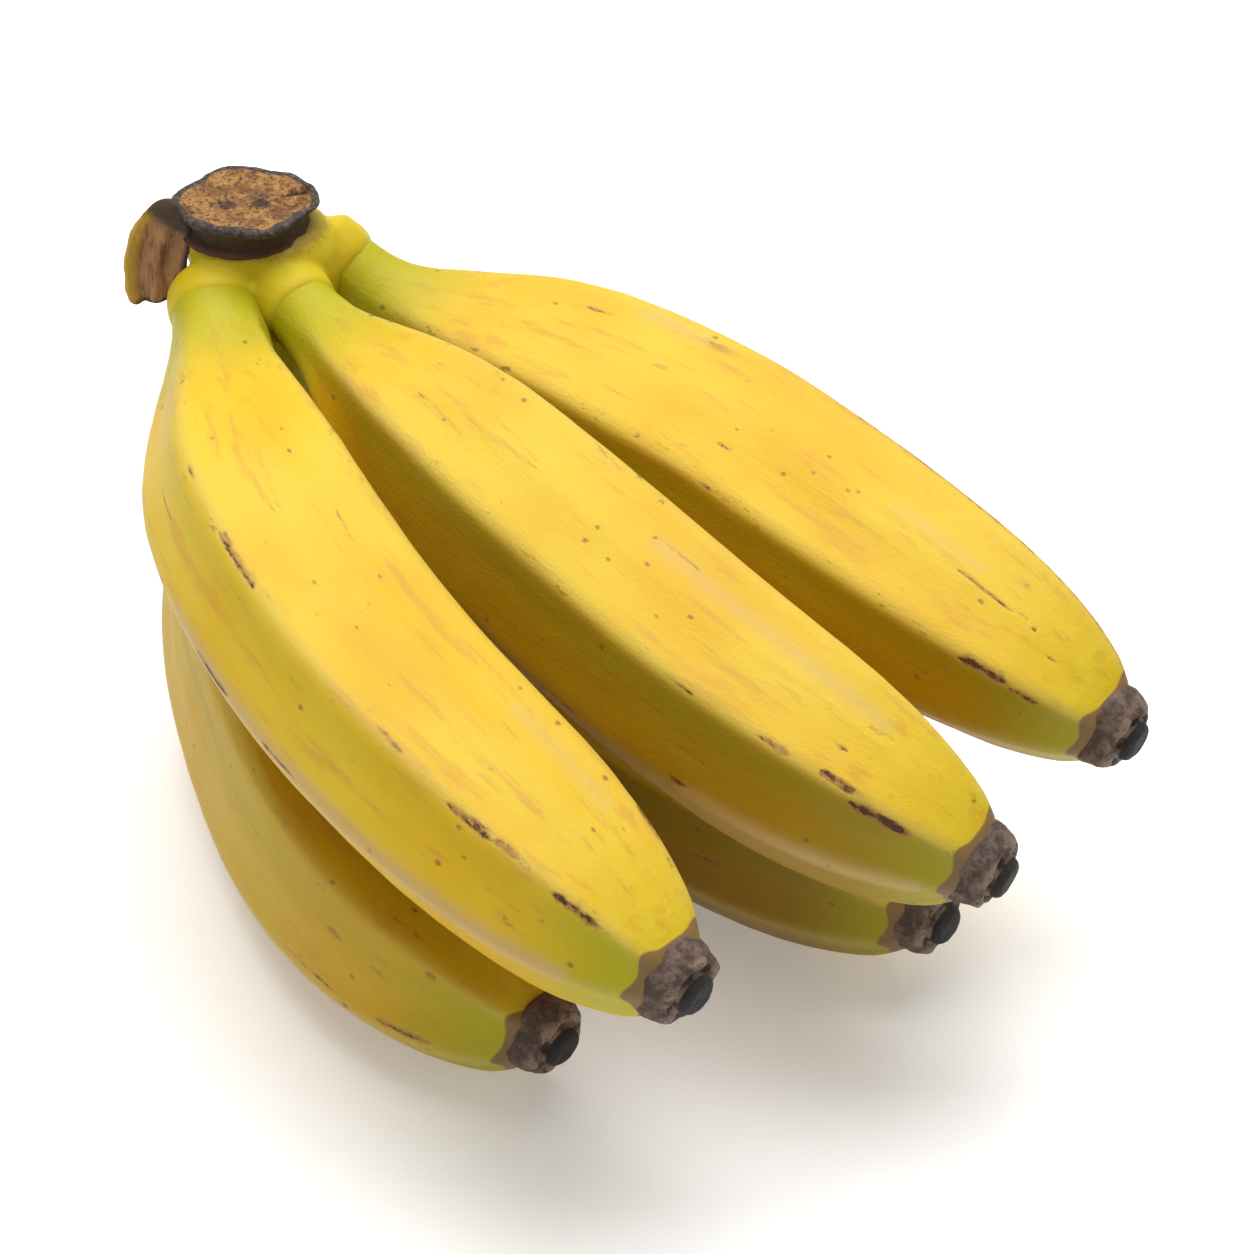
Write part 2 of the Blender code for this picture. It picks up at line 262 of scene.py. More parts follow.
class Value:
    """Socket of a shader tree that takes part in Python arithmetic."""

    def __init__(self, tree, socket):
        self.tree = tree
        self.socket = socket

    def maths(self, operation, *terms):
        """Math node on numbers or values."""
        node = self.tree.nodes.new("ShaderNodeMath")
        node.operation = operation
        for slot, term in zip(node.inputs, terms):
            plug(self.tree, slot, term)
        return Value(self.tree, node.outputs[0])

    def __add__(self, other):
        return self.maths("ADD", self, other)

    def __sub__(self, other):
        return self.maths("SUBTRACT", self, other)

    def __rsub__(self, other):
        return self.maths("SUBTRACT", other, self)

    def __mul__(self, other):
        return self.maths("MULTIPLY", self, other)

    def step(self, low, high):
        """Smooth rise from 0 at low to 1 at high; falls when low is above high."""
        node = self.tree.nodes.new("ShaderNodeMapRange")
        node.interpolation_type = "SMOOTHSTEP"
        turned = low > high
        plug(self.tree, node.inputs["Value"], self)
        node.inputs["From Min"].default_value = min(low, high)
        node.inputs["From Max"].default_value = max(low, high)
        node.inputs["To Min"].default_value = 1.0 if turned else 0.0
        node.inputs["To Max"].default_value = 0.0 if turned else 1.0
        return Value(self.tree, node.outputs["Result"])

    __radd__ = __add__
    __rmul__ = __mul__


def plug(tree, slot, term):
    """Feeds a socket with a value, a number or a colour."""
    if isinstance(term, Value):
        tree.links.new(term.socket, slot)
    elif hasattr(term, "__len__") and len(term) == 3 and slot.type == "RGBA":
        slot.default_value = (*term, 1.0)
    else:
        slot.default_value = term


class Finish:
    """Principled material put together from expressions."""

    def __init__(self, name):
        self.material = bpy.data.materials.new(name)
        self.material.use_nodes = True
        self.tree = self.material.node_tree
        self.shader = self.tree.nodes["Principled BSDF"]

    def node(self, kind, settings=None, inputs=None, output=0):
        """Any node: its settings are set first, then its sockets; gives one output."""
        made = self.tree.nodes.new(kind)
        for name, value in (settings or {}).items():
            setattr(made, name, value)
        for name, value in (inputs or {}).items():
            plug(self.tree, made.inputs[name], value)
        return Value(self.tree, made.outputs[output])

    def attribute(self, name, output="Fac"):
        """Attribute stored on the piece."""
        return self.node("ShaderNodeAttribute", {"attribute_name": name}, output=output)

    def scaled(self, vector, scale):
        """Vector multiplied by three numbers."""
        return self.node("ShaderNodeVectorMath", {"operation": "MULTIPLY"}, {0: vector, 1: scale})

    def noise(self, vector, scale, detail=3.0, rough=0.5):
        """Fractal noise about 0.5."""
        return self.node("ShaderNodeTexNoise", {}, {"Vector": vector, "Scale": scale, "Detail": detail,
                                                    "Roughness": rough})

    def cells(self, vector, scale):
        """Distance from the middles of scattered cells."""
        return self.node("ShaderNodeTexVoronoi", {}, {"Vector": vector, "Scale": scale}, "Distance")

    def mix(self, share, first, second):
        """Colour between two colours."""
        made = self.tree.nodes.new("ShaderNodeMix")
        made.data_type = "RGBA"
        made.clamp_factor = True
        plug(self.tree, made.inputs[0], share)
        plug(self.tree, made.inputs[6], first)
        plug(self.tree, made.inputs[7], second)
        return Value(self.tree, made.outputs[2])

    def feed(self, **sockets):
        """Feeds or sets the shader's own sockets, named with underscores."""
        for name, term in sockets.items():
            plug(self.tree, self.shader.inputs[name.replace("_", " ")], term)

    def bump(self, height, distance, strength):
        """Bump feeding the normal; distance in metres."""
        return self.node("ShaderNodeBump", {}, {"Height": height, "Distance": distance,
                                                "Strength": strength})


# ---------------------------------------------------------------- modelling helpers


def deselect():
    """Nothing selected, nothing active in edit mode."""
    if bpy.context.mode != "OBJECT":
        bpy.ops.object.mode_set(mode="OBJECT")
    bpy.ops.object.select_all(action="DESELECT")


def choose(*pieces):
    """Only these objects selected, the first one active."""
    deselect()
    for piece in pieces:
        piece.select_set(True)
    bpy.context.view_layer.objects.active = pieces[0]


def apply_modifier(piece, kind, **settings):
    """Adds one modifier and applies it."""
    choose(piece)
    modifier = piece.modifiers.new(kind.title(), kind)
    for name, value in settings.items():
        setattr(modifier, name, value)
    bpy.ops.object.modifier_apply(modifier=modifier.name)


def place_ring(mesh, ring, tags):
    """Moves the selected loop of the mesh in edit mode to a ring and tags its points."""
    shell = bmesh.from_edit_mesh(mesh)
    side = shell.verts.layers.int["side"]
    tag_layer = shell.verts.layers.float_vector["peel"]
    for vert in shell.verts:
        if vert.select:
            vert.co = ring[vert[side]]
            vert[tag_layer] = tags[vert[side]]
    bmesh.update_edit_mesh(mesh)


def draw_tube(name, rings, tags):
    """Closed tube drawn out of a circle ring by ring; tags become the attribute 'peel'."""
    deselect()
    bpy.ops.mesh.primitive_circle_add(vertices=len(rings[0]), radius=MM)
    piece = bpy.context.object
    piece.name = name
    piece.data.name = name
    bpy.ops.object.mode_set(mode="EDIT")
    bpy.ops.mesh.select_all(action="SELECT")
    shell = bmesh.from_edit_mesh(piece.data)
    side = shell.verts.layers.int.new("side")
    shell.verts.layers.float_vector.new("peel")
    shell.verts.ensure_lookup_table()
    for index, vert in enumerate(shell.verts):
        vert[side] = index
    bmesh.update_edit_mesh(piece.data)
    for level, (ring, tag) in enumerate(zip(rings, tags)):
        if level:
            bpy.ops.mesh.extrude_region_move()
        else:
            bpy.ops.mesh.edge_face_add()
            bpy.ops.mesh.delete(type="ONLY_FACE")
            bpy.ops.mesh.select_all(action="SELECT")
        place_ring(piece.data, ring, tag)
    bpy.ops.mesh.edge_face_add()
    close_start(piece.data)
    bpy.ops.mesh.select_all(action="SELECT")
    bpy.ops.mesh.normals_make_consistent(inside=False)
    bpy.ops.object.mode_set(mode="OBJECT")
    return piece


def close_start(mesh):
    """Caps the open loop that is left at the start of a tube."""
    bpy.ops.mesh.select_all(action="DESELECT")
    shell = bmesh.from_edit_mesh(mesh)
    for edge in shell.edges:
        edge.select_set(edge.is_boundary)
    bmesh.update_edit_mesh(mesh)
    bpy.ops.mesh.edge_face_add()


def coordinates(piece):
    """Vertex positions as an array in metres."""
    points = np.empty(len(piece.data.vertices) * 3)
    piece.data.vertices.foreach_get("co", points)
    return points.reshape(-1, 3)


def set_coordinates(piece, points):
    """Moves the vertices."""
    piece.data.vertices.foreach_set("co", points.ravel())
    piece.data.update()


def vertex_normals(piece):
    """Vertex normals as an array."""
    normals = np.empty(len(piece.data.vertices) * 3)
    piece.data.vertex_normals.foreach_get("vector", normals)
    return normals.reshape(-1, 3)


def read_vectors(piece, name):
    """Vector attribute as an array."""
    values = np.empty(len(piece.data.vertices) * 3)
    piece.data.attributes[name].data.foreach_get("vector", values)
    return values.reshape(-1, 3)


def store(piece, name, values):
    """Float or vector attribute on the vertices."""
    kind = "FLOAT" if values.ndim == 1 else "FLOAT_VECTOR"
    if name in piece.data.attributes:
        piece.data.attributes.remove(piece.data.attributes[name])
    layer = piece.data.attributes.new(name, kind, "POINT")
    layer.data.foreach_set("value" if values.ndim == 1 else "vector", values.astype(np.float32).ravel())


def rise(values, low, high):
    """Smooth rise from 0 to 1."""
    share = np.clip((values - low) / (high - low), 0.0, 1.0)
    return share * share * (3.0 - 2.0 * share)


def ripple(points, wavelength, seed, octaves=2):
    """Smooth noise between about -1 and 1 at points in millimetres."""
    total = np.zeros(len(points))
    reach = 1.0
    for octave in range(octaves):
        scale = 2.0 ** octave / wavelength
        shift = seed * 17.3 + octave * 5.1
        total += reach * np.array([noise.noise((x * scale + shift, y * scale - shift, z * scale + shift))
                                   for x, y, z in points])
        reach *= 0.5
    return total


def finish_piece(piece, material, slot, *nodes):
    choose(piece)
    bpy.ops.object.shade_smooth()
    piece.data.materials.clear()
    piece.data.materials.append(material)
    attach(piece, "root")
    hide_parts(*nodes)


# ---------------------------------------------------------------- routes


def catmull_rom(points, place):
    """Point of a smooth curve through the points; place runs over their indices."""
    first = min(int(place), len(points) - 2)
    share = place - first
    before = points[first - 1] if first else 2 * points[0] - points[1]
    last = len(points) - 1
    after = points[first + 2] if first + 2 <= last else 2 * points[last] - points[last - 1]
    start, end = points[first], points[first + 1]
    return 0.5 * (2 * start + (end - before) * share
                  + (2 * before - 5 * start + 4 * end - after) * share ** 2
                  + (3 * start - before - 3 * end + after) * share ** 3)


class Route:
    """Smooth centre line measured by arc length, in millimetres."""

    def __init__(self, points, steps=400):
        points = [np.array(point) + OFFSET for point in points]
        span = len(points) - 1
        self.samples = np.array([catmull_rom(points, span * step / steps) for step in range(steps + 1)])
        jumps = np.linalg.norm(np.diff(self.samples, axis=0), axis=1)
        self.marks = np.concatenate(([0.0], np.cumsum(jumps)))
        self.length = self.marks[-1]

    def point(self, distance):
        """Point at a distance along the line; it runs straight on past both ends."""
        index = int(np.clip(np.searchsorted(self.marks, distance) - 1, 0, len(self.marks) - 2))
        share = (distance - self.marks[index]) / (self.marks[index + 1] - self.marks[index])
        return self.samples[index] * (1 - share) + self.samples[index + 1] * share

    def frame(self, distance):
        """Centre, direction, upward and sideways axes at a distance."""
        ahead = self.point(distance + 1.5) - self.point(distance - 1.5)
        ahead /= np.linalg.norm(ahead)
        up = UPWARDS - ahead * ahead[2]
        up /= np.linalg.norm(up)
        return self.point(distance), ahead, up, np.cross(ahead, up)


def ellipse(centre, across, along, sides):
    """Ring spanned by two half-axis vectors, in metres."""
    angles = np.arange(sides) * tau / sides
    return (centre + np.outer(np.cos(angles), across) + np.outer(np.sin(angles), along)) * MM


def round_tags(sides, height):
    """Direction round a ring and its height, kept as an attribute."""
    angles = np.arange(sides) * tau / sides
    return np.stack([np.cos(angles), np.sin(angles), np.full(sides, height)], 1)


# ---------------------------------------------------------------- bananas


def ridge_turns(finger):
    """Angles of the ridges in radians, with the first one again after a full turn."""
    return np.radians(np.array(finger.ridges + (finger.ridges[0] + 360,)))


def section_angles(finger):
    """Angle of every section point, ridge after ridge."""
    turns = ridge_turns(finger)
    return np.concatenate([np.linspace(start, end, FACE_STEPS, endpoint=False)
                           for start, end in zip(turns, turns[1:])])


def girth_share(share):
    """Profile of a finger, smoothed."""
    stations, sizes = np.array(FINGER_PROFILE).T
    fine = np.linspace(stations[0], stations[-1], PROFILE_STEPS)
    table = np.interp(fine, stations, sizes)
    kernel = np.exp(-np.linspace(-2.2, 2.2, 2 * PROFILE_BLUR + 1) ** 2)
    padded = np.concatenate((np.full(PROFILE_BLUR, table[0]), table, np.full(PROFILE_BLUR, table[-1])))
    smooth = np.convolve(padded, kernel / kernel.sum(), "valid")
    smooth[-PROFILE_TIP:] = table[-PROFILE_TIP:]
    return np.interp(share, fine, smooth)


def angularity(share):
    """Strength of the ridges along a finger."""
    grow = np.clip(share / ROUND_NECK - 0.4, 0.15, 1.0)
    fade = np.clip((1.0 - share) / (1.0 - ROUND_TIP), 0.45, 1.0)
    return ANGULARITY * np.minimum(grow, fade)


def reach(finger, angle, share):
    """Distance from the centre line to the peel: a polygon with softened corners."""
    ridges = ridge_turns(finger)
    total = np.zeros_like(angle)
    for start, end in zip(ridges, ridges[1:]):
        facing = np.maximum(0.0, np.cos(angle - (start + end) / 2)) / cos((end - start) / 2)
        total += facing ** CORNER_POWER
    polygon = total ** (-1.0 / CORNER_POWER)
    neck = 1.0 + (finger.neck - 1.0) * (1.0 - rise(share, *NECK_BLEND))
    return finger.girth * neck * girth_share(share) * (1.0 - angularity(share) * (1.0 - polygon))


def surface(finger, route, angle, share):
    """Points of the peel, in millimetres."""
    distances = share * route.length
    centres = np.stack([np.interp(distances, route.marks, route.samples[:, axis]) for axis in range(3)], 1)
    frames = [route.frame(mark) for mark in FRAME_MARKS * route.length]
    past = np.maximum(distances - route.length, 0) + np.minimum(distances, 0)
    heads = np.array([item[1] for item in frames])
    ups = np.array([item[2] for item in frames])
    head = np.stack([np.interp(share, FRAME_MARKS, heads[:, axis]) for axis in range(3)], 1)
    up = np.stack([np.interp(share, FRAME_MARKS, ups[:, axis]) for axis in range(3)], 1)
    side = np.cross(head, up)
    far = reach(finger, angle, share)[:, None]
    outward = up * np.cos(angle)[:, None] + side * np.sin(angle)[:, None]
    return centres + head * past[:, None] + outward * far


def finger_cage(finger, route):
    """Rings of a finger and the tags of their points."""
    angles = section_angles(finger)
    rings, tags = [], []
    for share in RING_SHARES:
        rings.append(surface(finger, route, angles, np.full(len(angles), share)) * MM)
        tags.append(np.stack([np.cos(angles), np.sin(angles), np.full(len(angles), share)], 1))
    return rings, tags


def ridge_place(finger, angle):
    """Place round the peel: whole numbers are ridges, halves are the middles of faces."""
    ridges = ridge_turns(finger)
    turned = (angle - ridges[0]) % tau + ridges[0]
    return np.interp(turned, ridges, np.arange(len(ridges)))


def ridge_gap(finger, angle, radius):
    """Arc distance in millimetres from the nearest ridge."""
    gaps = np.stack([np.abs((angle - radians(ridge) + pi) % tau - pi) for ridge in finger.ridges])
    return gaps.min(axis=0) * radius


def marks_field(finger, around, share, radius, route, marks):
    """Strongest of the listed marks at every point."""
    strongest = np.zeros(len(share))
    faces = len(finger.ridges)
    widths = np.diff(ridge_turns(finger))
    for place, start, end, width, strength in marks:
        gap = (around - place + faces / 2) % faces - faces / 2
        arc = gap * widths[int(place) % faces] * radius
        middle, half = (start + end) / 2, (end - start) / 2
        along = np.maximum(np.abs(share - middle) - half, 0.0) * route.length
        taper = np.clip(1.15 - (np.abs(share - middle) / max(half, 1e-4)) ** 4 * 0.4, 0.3, 1.0)
        value = np.exp(-(arc / (width * taper)) ** 2) * np.exp(-(along / MARK_END) ** 2)
        strongest = np.maximum(strongest, strength * value)
    return strongest


def make_finger(finger, settings, material):
    """One banana with its ridges, dents and peel attributes."""
    route = Route(finger.route)
    rings, tags = finger_cage(finger, route)
    piece = draw_tube(f"banana_{finger.name}", rings, tags)
    apply_modifier(piece, "SUBSURF", levels=3, render_levels=3)
    tag = read_vectors(piece, "peel")
    angle = np.arctan2(tag[:, 1], tag[:, 0])
    share = tag[:, 2]
    radius = finger.girth * girth_share(share) * MEAN_REACH
    straight = np.stack([np.cos(angle) * radius, np.sin(angle) * radius, share * route.length], 1)
    inside = rise(share, 0.03, 0.16) * (1 - rise(share, 0.93, 0.965))
    distance = ridge_gap(finger, angle, radius)
    lumps = ripple(straight * (1, 1, 0.5), 13.0, finger.seed) + 0.35 * ripple(straight * (1, 1, 0.4), 5.0, 9)
    ridge_lift = np.exp(-(distance / 2.2) ** 2) - 0.5 * np.exp(-((distance - 6.0) / 3.5) ** 2)
    lift = (settings.ridge_height / MM * ridge_lift + LUMP_HEIGHT * lumps) * inside
    base = surface(finger, route, angle, share)
    points = base + vertex_normals(piece) * lift[:, None]
    keep = (share <= RING_SHARES[0] + 1e-4) | (share >= RING_SHARES[-1] - 1e-4)
    points[keep] = coordinates(piece)[keep] / MM
    points[:, 2] = np.maximum(points[:, 2], 0.0)
    set_coordinates(piece, points * MM)
    around = ridge_place(finger, angle)
    store(piece, "peel", straight)
    store(piece, "ridge", np.exp(-(distance / 1.0) ** 2) * inside)
    store(piece, "scar", marks_field(finger, around, share, radius, route, finger.scars))
    store(piece, "band", marks_field(finger, around, share, radius, route, finger.bands))
    necks = 1 - rise(share, 0.04, 0.24)
    tips = rise(share, 0.80, 0.955)
    flank = rise(around, 0.0, 0.12) * (1 - rise(around, 1.8, 2.4))
    store(piece, "green", necks * 0.9 + tips * (0.36 + 0.44 * flank))
    # olive band just under the first ridge: partly the peel's own tint, partly painted shade of the fold,
    # stronger on sheltered fingers
    fold = np.exp(-((around - 0.24) / 0.17) ** 2) * inside
    store(piece, "fold", fold * (0.55 + 0.45 * finger.shade))
    # painted shade on the faces that a neighbouring finger shelters, fading at the neck and towards the tip
    painted_shade_along = rise(share, 0.10, 0.25) * (1 - 0.5 * rise(share, 0.86, 0.95))
    store(piece, "shade", flank * finger.shade * painted_shade_along)
    store(piece, "tip", rise(share + 0.006 * np.exp(-(distance / 1.6) ** 2), 0.950, 0.957))
    finish_piece(piece, material, "skin", f"finger_{finger.name}")


def peel_material(settings):
    """Satin yellow peel with green ends, rubbed ridges, dashes and dots, an olive band under the first ridge
    that is partly painted shade, and painted shade on faces that a neighbouring finger shelters.
    """
    peel = Finish("banana_peel")
    place = peel.attribute("peel", "Vector")
    ridge, green, tip = peel.attribute("ridge"), peel.attribute("green"), peel.attribute("tip")
    scar, band = peel.attribute("scar"), peel.attribute("band")
    fold, shade = peel.attribute("fold"), peel.attribute("shade")
    stretched = peel.scaled(place, (1.0, 1.0, 0.5))
    clouds = peel.noise(stretched, 0.055, 3.0)
    streaks = peel.noise(peel.scaled(place, (1.0, 1.0, 0.12)), 0.42, 4.0, 0.6)
    grain = peel.noise(stretched, 1.6, 4.0, 0.6)
    ragged = peel.noise(stretched, 0.75, 5.0, 0.7)
    base = peel.mix(clouds.step(0.35, 0.70), settings.bright, settings.deep)
    base = peel.mix(streaks.step(0.52, 0.68) * 0.55, base, (0.55, 0.27, 0.03))
    # olive fold band under the first ridge: own tint plus painted shade
    base = peel.mix(fold * 0.55, base, (0.42, 0.35, 0.006))
    # painted shade: deeper orange where a neighbouring finger shelters the faces
    base = peel.mix(shade * (1.0 - fold) * 0.5, base, (0.58, 0.29, 0.002))
    greenness = (green + (clouds - 0.5) * 0.6).step(0.02, 1.15)
    base = peel.mix(greenness * 0.95, base, settings.green)
    # painted shade: dark brown on the same sheltered faces
    base = peel.mix(shade * 0.52, base, (0.10, 0.055, 0.0))
    base = peel.mix(ridge * (0.15 + grain * 0.35), base, (0.50, 0.42, 0.14))
    base = peel.mix(band * (0.45 + ragged * 0.7), base, settings.pale)
    freckles = peel.noise(peel.scaled(place, (1.0, 1.0, 0.4)), 0.36, 4.0, 0.7)
    dashes = ridge * (freckles + grain * 0.3).step(0.76, 0.86)
    base = peel.mix(dashes * 0.65, base, settings.scar)
    torn = peel.noise(peel.scaled(place, (1.0, 1.0, 0.35)), 1.1, 5.0, 0.75)
    edge = (torn - 0.5) * 3.2
    halo = (scar + edge * 0.5).step(0.15, 0.60) * scar.step(0.03, 0.25)
    base = peel.mix(halo * 0.7, base, (0.32, 0.14, 0.05))
    base = peel.mix((scar + edge).step(0.55, 0.95) * scar.step(0.12, 0.45) * 0.9, base, settings.scar)
    dots = peel.cells(peel.scaled(place, (1.0, 1.0, 0.7)), 0.23)
    dots = (dots + grain * 0.06).step(0.15, 0.07) * ragged.step(0.36, 0.50)
    base = peel.mix(dots * 0.7, base, (0.18, 0.075, 0.03))
    scribble = peel.noise(peel.scaled(place, (1.0, 1.0, 0.25)), 0.20, 6.0, 0.75)
    patches = peel.noise(place, 0.045, 1.0)
    scribble = scribble.step(0.60, 0.67) * patches.step(0.46, 0.58)
    base = peel.mix(scribble * 0.6, base, (0.32, 0.14, 0.03))
    rim = tip.step(0.0, 0.5)
    base = peel.mix(rim * 0.85, base, (0.16, 0.085, 0.05))
    peel.feed(Base_Color=base, Roughness=0.38 + grain * 0.16)
    peel.shader.inputs["Specular IOR Level"].default_value = 0.20
    fine = peel.noise(peel.scaled(place, (1.0, 1.0, 0.35)), 2.4, 3.0, 0.6)
    peel.feed(Normal=peel.bump(fine + streaks * 1.5 - scar * 1.2, 0.00014, 0.6))
    return peel.material


# ---------------------------------------------------------------- flower ends


def make_flower_end(finger, material):
    """Corky collar with the knob of the dried flower."""
    route = Route(finger.route)
    tip, ahead, up, side = route.frame(TIP_SHARE * route.length)
    rings, tags = [], []
    for distance, radius in FLOWER_PROFILE:
        rings.append(ellipse(tip + ahead * distance, up * radius, side * radius, FLOWER_SIDES))
        tags.append(round_tags(FLOWER_SIDES, distance))
    piece = draw_tube(f"flower_end_piece_{finger.name}", rings, tags)
    apply_modifier(piece, "SUBSURF", levels=3, render_levels=3)
    points = coordinates(piece) / MM
    tag = read_vectors(piece, "peel")
    angle = np.arctan2(tag[:, 1], tag[:, 0])
    collar = rise(tag[:, 2], -0.8, 0.5) * (1 - rise(tag[:, 2], 4.2, 4.8))
    corners = np.cos(5 * angle + finger.seed) + 0.6 * np.cos(3 * angle - 2 * finger.seed)
    rough = 0.26 * ripple(points, 2.6, finger.seed + 20, 3) * (0.5 + 0.5 * collar) + 0.24 * corners * collar
    points = points + vertex_normals(piece) * rough[:, None]
    set_coordinates(piece, points * MM)
    store(piece, "reach", tag[:, 2])
    store(piece, "round", np.cos(5 * angle + finger.seed))
    finish_piece(piece, material, "flower_end", f"flower_end_{finger.name}")


def cork_material(settings):
    """Grey-brown cork with tan patches that turns black on the knob."""
    cork = Finish("flower_end_cork")
    place = cork.node("ShaderNodeTexCoord", output="Object")
    reach = cork.attribute("reach")
    spokes = cork.attribute("round")
    coarse = cork.noise(place, 420.0, 5.0, 0.65)
    fine = cork.noise(place, 1500.0, 4.0, 0.65)
    base = cork.mix(coarse.step(0.40, 0.66), settings.cork, (0.17, 0.105, 0.075))
    ring = reach.step(3.2, 4.0) * (coarse + spokes * 0.12).step(0.42, 0.58)
    base = cork.mix(ring * 0.8, base, (0.24, 0.165, 0.11))
    base = cork.mix(fine.step(0.52, 0.70) * 0.6, base, (0.018, 0.012, 0.010))
    base = cork.mix(reach.step(4.6, 5.0), base, settings.knob)
    base = cork.mix(reach.step(0.9, -0.2) * 0.7, base, (0.15, 0.07, 0.045))
    cork.feed(Base_Color=base, Roughness=0.66 + fine * 0.25)
    cork.feed(Normal=cork.bump(coarse + fine * 0.5, 0.0005, 0.9))
    return cork.material


# ---------------------------------------------------------------- crown


def level_ring(height, x, y, half_length, half_depth, sides):
    """Horizontal ring of the crown."""
    across = np.array((cos(CROWN_TURN), sin(CROWN_TURN), 0.0)) * half_length
    along = np.array((-sin(CROWN_TURN), cos(CROWN_TURN), 0.0)) * half_depth
    return ellipse(np.array((x, y, height)) + OFFSET, across, along, sides)


def make_lobe(finger):
    """Swelling of the crown that wraps the start of one neck."""
    route = Route(finger.route)
    start, _, up, side = route.frame(0.0)
    core = CROWN_CORE + OFFSET
    radius = NECK_SIZE * finger.girth * (1.0 + (finger.neck - 1.0) * 0.8)
    rings = []
    for share, swell in LOBE_ROOT:
        centre = core + (start - core) * share
        rings.append(ellipse(centre, up * radius * swell, side * radius * swell, LOBE_SIDES))
    for distance, swell in LOBE_SLEEVE:
        centre, _, up, side = route.frame(distance)
        rings.append(ellipse(centre, up * radius * swell, side * radius * swell, LOBE_SIDES))
    return draw_tube(f"lobe_{finger.name}", rings, [round_tags(LOBE_SIDES, 0.0)] * len(rings))


def make_crown(material):
    """Yellow cushion whose lobes run into the necks."""
    rings = [level_ring(*level, CROWN_SIDES) for level in CROWN_LEVELS]
    body = draw_tube("crown_cushion", rings, [round_tags(CROWN_SIDES, 0.0)] * len(rings))
    choose(body, *[make_lobe(finger) for finger in FINGERS])
    bpy.ops.object.join()
    apply_modifier(body, "REMESH", mode="VOXEL", voxel_size=0.0005)
    apply_modifier(body, "SMOOTH", factor=0.5, iterations=10)
    points = coordinates(body) / MM
    points += vertex_normals(body) * (0.12 * ripple(points, 5.0, 40))[:, None]
    set_coordinates(body, points * MM)
    finish_piece(body, material, "crown", "crown")


def lobe_material(settings):
    """Olive yellow skin of the crown, darker under the cut."""
    lobe = Finish("crown_skin")
    place = lobe.node("ShaderNodeTexCoord", output="Object")
    height = lobe.node("ShaderNodeSeparateXYZ", inputs={"Vector": place}, output="Z")
    clouds = lobe.noise(place, 90.0, 3.0)
    grain = lobe.noise(place, 900.0, 4.0, 0.6)
    base = lobe.mix(clouds.step(0.35, 0.7), (0.58, 0.45, 0.010), (0.52, 0.38, 0.008))
    base = lobe.mix((height + (grain - 0.5) * 0.002).step(0.0760, 0.0782) * 0.7, base, (0.16, 0.085, 0.02))
    base = lobe.mix(height.step(0.066, 0.054) * 0.8, base, (0.16, 0.14, 0.006))
    lobe.feed(Base_Color=base, Roughness=0.42 + grain * 0.16)
    lobe.shader.inputs["Specular IOR Level"].default_value = 0.20
    lobe.feed(Normal=lobe.bump(grain, 0.0001, 0.5))
    return lobe.material


def make_stump(material):
    """Cut end of the stem: recessed band, ragged rim and fibrous face."""
    rings, tags = [], []
    for height, half in STUMP_LEVELS:
        rings.append(level_ring(height, *STUMP_CENTRE, half, half * STUMP_DEPTH, STUMP_SIDES))
        tags.append(round_tags(STUMP_SIDES, half))
    piece = draw_tube("crown_stump", rings, tags)
    apply_modifier(piece, "SUBSURF", levels=3, render_levels=3)
    tag = read_vectors(piece, "peel")
    points = coordinates(piece) / MM
    angle = np.arctan2(tag[:, 1], tag[:, 0])
    top = rise(points[:, 2], 80.4, 81.1)
    face = rise(points[:, 2], 81.2, 81.7) * (1 - rise(tag[:, 2], 9.2, 10.0))
    outline = 0.32 * np.cos(STUMP_CORNERS * angle + 0.6) + 0.40 * np.cos(4 * angle - 1.1)
    outline += 0.09 * np.cos(11 * angle + 2.0)
    centre = np.append(np.array(STUMP_CENTRE), 0.0) + OFFSET
    outward = (points - centre) * (1.0, 1.0, 0.0)
    outward /= np.linalg.norm(outward, axis=1)[:, None] + 1e-6
    points += outward * (outline * top * rise(tag[:, 2], 4.0, 9.0))[:, None]
    rough = 0.26 * ripple(points, 1.7, 60, 3) * (0.45 + face) + 0.30 * ripple(points, 5.0, 61) * top
    crack = np.exp(-((angle - 0.35) / 0.10) ** 2) * rise(tag[:, 2], 3.5, 7.0) * face
    points += vertex_normals(piece) * (rough - 0.8 * crack)[:, None]
    set_coordinates(piece, points * MM)
    store(piece, "face", face)
    pits = [np.exp(-(((points - centre)[:, :2] - pit) ** 2).sum(axis=1) / 3.0) for pit in STUMP_PITS]
    store(piece, "pit", np.clip(sum(pits) + crack, 0, 1) * face)
    finish_piece(piece, material, "crown", "crown")


